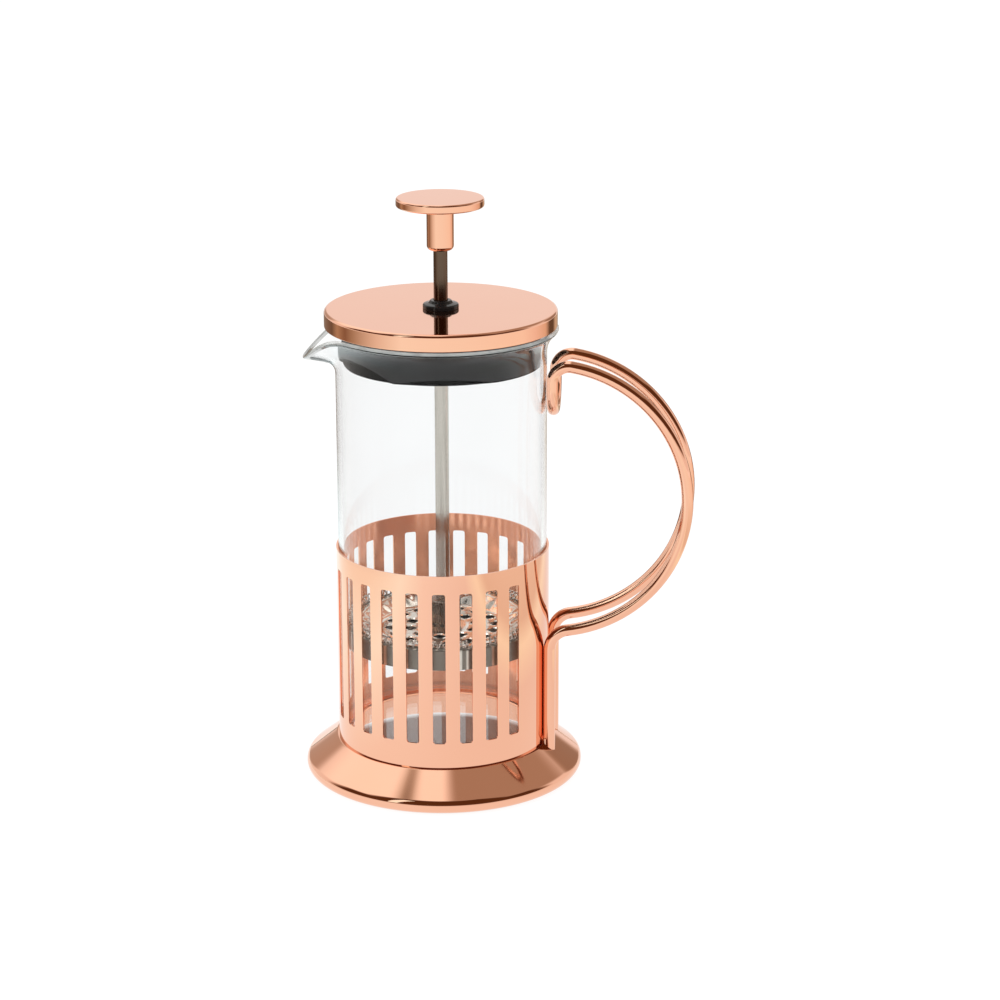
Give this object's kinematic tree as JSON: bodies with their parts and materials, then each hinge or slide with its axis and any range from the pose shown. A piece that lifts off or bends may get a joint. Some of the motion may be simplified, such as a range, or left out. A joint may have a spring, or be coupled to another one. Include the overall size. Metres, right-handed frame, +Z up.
{
  "type": "french press",
  "caption": "Small press-pot coffee maker: clear beaker in a slotted plated sleeve on a flared foot, looped twin-rod handle, flat lid and a plunger with a sprung mesh filter.",
  "frame": {"origin": "centre of the foot's underside, on the beaker's axis", "axes": "+Z up along the beaker's axis, +X towards the handle, -X towards the spout"},
  "size_m": [0.1323, 0.0948, 0.1989],
  "materials": {
    "copper_plate": "polished rose copper plating on steel",
    "clear_glass": "clear borosilicate glass",
    "dark_plastic": "satin dark grey polypropylene",
    "black_plastic": "glossy black acetal",
    "steel_rod": "drawn stainless steel",
    "steel_sheet": "bright pressed stainless steel",
    "steel_mesh": "fine woven stainless wire",
    "steel_nut": "plain stainless steel nut"
  },
  "bodies": {
    "frame": {"frame_sleeve": "copper_plate", "base_skirt": "copper_plate", "handle_rod": "copper_plate"},
    "beaker": {"glass_beaker": "clear_glass"},
    "lid": {"lid_cap": "copper_plate", "lid_collar": "dark_plastic", "lid_bushing": "black_plastic", "bushing_nut": "steel_nut"},
    "plunger": {"knob_disc": "copper_plate", "knob_neck": "copper_plate", "plunger_rod": "steel_rod"},
    "filter": {"hub_nut": "steel_rod", "spring_plate": "steel_sheet", "edge_coil": "steel_sheet", "mesh_screen": "steel_mesh", "cross_plate": "steel_sheet", "bottom_nut": "steel_nut"}
  },
  "joints": [
    {"name": "beaker_lift", "type": "slide", "parent": "frame", "child": "beaker", "axis": [0, 0, 1], "range_m": [0, 0.136]},
    {"name": "lid_lift", "type": "slide", "parent": "beaker", "child": "lid", "axis": [0, 0, 1], "range_m": [0, 0.132]},
    {"name": "plunger_slide", "type": "slide", "parent": "lid", "child": "plunger", "axis": [0, 0, 1], "range_m": [-0.0166, 0.0868]},
    {"name": "filter_unscrew", "type": "hinge", "parent": "plunger", "child": "filter", "pos_m": [0, 0, 0.05], "axis": [0, 0, 1], "range_deg": [0, 2700]}
  ]
}
